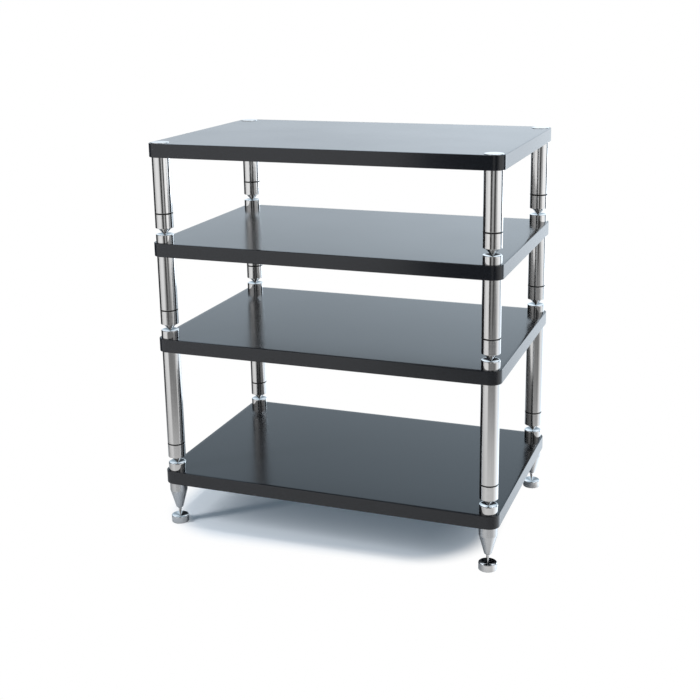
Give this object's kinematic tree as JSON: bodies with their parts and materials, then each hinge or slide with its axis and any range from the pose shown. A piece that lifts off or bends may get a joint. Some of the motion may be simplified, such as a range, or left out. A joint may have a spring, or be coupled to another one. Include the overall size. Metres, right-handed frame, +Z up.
{
  "type": "audio equipment rack",
  "caption": "Open audio equipment rack: black rounded boards stacked in tiers on steel columns, each tier standing on cone spikes in dished cups, with levelling floor spikes on round pads.",
  "frame": {"origin": "on the floor under the middle of the rack", "axes": "+Z up, +X to the rack's right as seen from the front, the front faces -Y"},
  "size_m": [0.65, 0.416, 0.7355],
  "materials": {
    "black_board": "fibreboard with a smooth black satin lacquer that mirrors the room softly",
    "satin_steel": "turned stainless steel, satin to bright",
    "polished_steel": "turned stainless steel with a polished dish"
  },
  "bodies": {
    "bottom_tier": {"bottom_shelf": "black_board", "bottom_cup_front_left": "satin_steel", "bottom_cup_front_right": "satin_steel", "bottom_cup_back_left": "satin_steel", "bottom_cup_back_right": "satin_steel", "foot_front_left": "satin_steel", "foot_front_right": "satin_steel", "foot_back_left": "satin_steel", "foot_back_right": "satin_steel"},
    "lower_spikes": {"lower_spike_front_left": "satin_steel", "lower_spike_front_right": "satin_steel", "lower_spike_back_left": "satin_steel", "lower_spike_back_right": "satin_steel"},
    "lower_tier": {"lower_shelf": "black_board", "lower_column_front_left": "satin_steel", "lower_column_front_right": "satin_steel", "lower_column_back_left": "satin_steel", "lower_column_back_right": "satin_steel", "lower_cup_front_left": "satin_steel", "lower_cup_front_right": "satin_steel", "lower_cup_back_left": "satin_steel", "lower_cup_back_right": "satin_steel"},
    "upper_spikes": {"upper_spike_front_left": "satin_steel", "upper_spike_front_right": "satin_steel", "upper_spike_back_left": "satin_steel", "upper_spike_back_right": "satin_steel"},
    "upper_tier": {"upper_shelf": "black_board", "upper_column_front_left": "satin_steel", "upper_column_front_right": "satin_steel", "upper_column_back_left": "satin_steel", "upper_column_back_right": "satin_steel", "upper_cup_front_left": "satin_steel", "upper_cup_front_right": "satin_steel", "upper_cup_back_left": "satin_steel", "upper_cup_back_right": "satin_steel"},
    "top_spikes": {"top_spike_front_left": "satin_steel", "top_spike_front_right": "satin_steel", "top_spike_back_left": "satin_steel", "top_spike_back_right": "satin_steel"},
    "top_tier": {"top_shelf": "black_board", "top_column_front_left": "satin_steel", "top_column_front_right": "satin_steel", "top_column_back_left": "satin_steel", "top_column_back_right": "satin_steel", "cap_front_left": "satin_steel", "cap_front_right": "satin_steel", "cap_back_left": "satin_steel", "cap_back_right": "satin_steel"},
    "pad_front_left": {"pad_front_left": "polished_steel"},
    "floor_spike_front_left": {"floor_spike_front_left": "satin_steel"},
    "pad_front_right": {"pad_front_right": "polished_steel"},
    "floor_spike_front_right": {"floor_spike_front_right": "satin_steel"},
    "pad_back_left": {"pad_back_left": "polished_steel"},
    "floor_spike_back_left": {"floor_spike_back_left": "satin_steel"},
    "pad_back_right": {"pad_back_right": "polished_steel"},
    "floor_spike_back_right": {"floor_spike_back_right": "satin_steel"}
  },
  "joints": [
    {"name": "lower_tier_lift", "type": "slide", "parent": "bottom_tier", "child": "lower_spikes", "axis": [0, 0, 1], "range_m": [0, 0.06]},
    {"name": "lower_tier_level", "type": "slide", "parent": "lower_spikes", "child": "lower_tier", "axis": [0, 0, 1], "range_m": [0, 0.006]},
    {"name": "upper_tier_lift", "type": "slide", "parent": "lower_tier", "child": "upper_spikes", "axis": [0, 0, 1], "range_m": [0, 0.06]},
    {"name": "upper_tier_level", "type": "slide", "parent": "upper_spikes", "child": "upper_tier", "axis": [0, 0, 1], "range_m": [0, 0.006]},
    {"name": "top_tier_lift", "type": "slide", "parent": "upper_tier", "child": "top_spikes", "axis": [0, 0, 1], "range_m": [0, 0.06]},
    {"name": "top_tier_level", "type": "slide", "parent": "top_spikes", "child": "top_tier", "axis": [0, 0, 1], "range_m": [0, 0.006]},
    {"name": "pad_front_left_drop", "type": "slide", "parent": "bottom_tier", "child": "pad_front_left", "axis": [0, 0, -1], "range_m": [0, 0.01]},
    {"name": "floor_spike_front_left_turn", "type": "hinge", "parent": "pad_front_left", "child": "floor_spike_front_left", "pos_m": [-0.3045, -0.188, 0.03], "axis": [0, 0, -1], "range_deg": [0, 2880]},
    {"name": "pad_front_right_drop", "type": "slide", "parent": "bottom_tier", "child": "pad_front_right", "axis": [0, 0, -1], "range_m": [0, 0.01]},
    {"name": "floor_spike_front_right_turn", "type": "hinge", "parent": "pad_front_right", "child": "floor_spike_front_right", "pos_m": [0.3045, -0.188, 0.03], "axis": [0, 0, -1], "range_deg": [0, 2880]},
    {"name": "pad_back_left_drop", "type": "slide", "parent": "bottom_tier", "child": "pad_back_left", "axis": [0, 0, -1], "range_m": [0, 0.01]},
    {"name": "floor_spike_back_left_turn", "type": "hinge", "parent": "pad_back_left", "child": "floor_spike_back_left", "pos_m": [-0.3045, 0.188, 0.03], "axis": [0, 0, -1], "range_deg": [0, 2880]},
    {"name": "pad_back_right_drop", "type": "slide", "parent": "bottom_tier", "child": "pad_back_right", "axis": [0, 0, -1], "range_m": [0, 0.01]},
    {"name": "floor_spike_back_right_turn", "type": "hinge", "parent": "pad_back_right", "child": "floor_spike_back_right", "pos_m": [0.3045, 0.188, 0.03], "axis": [0, 0, -1], "range_deg": [0, 2880]}
  ],
  "couplings": [
    {"joint": "floor_spike_front_left_turn", "follows": "pad_front_left_drop", "rad_per_m": 5026.5},
    {"joint": "floor_spike_front_right_turn", "follows": "pad_front_right_drop", "rad_per_m": 5026.5},
    {"joint": "floor_spike_back_left_turn", "follows": "pad_back_left_drop", "rad_per_m": 5026.5},
    {"joint": "floor_spike_back_right_turn", "follows": "pad_back_right_drop", "rad_per_m": 5026.5}
  ]
}
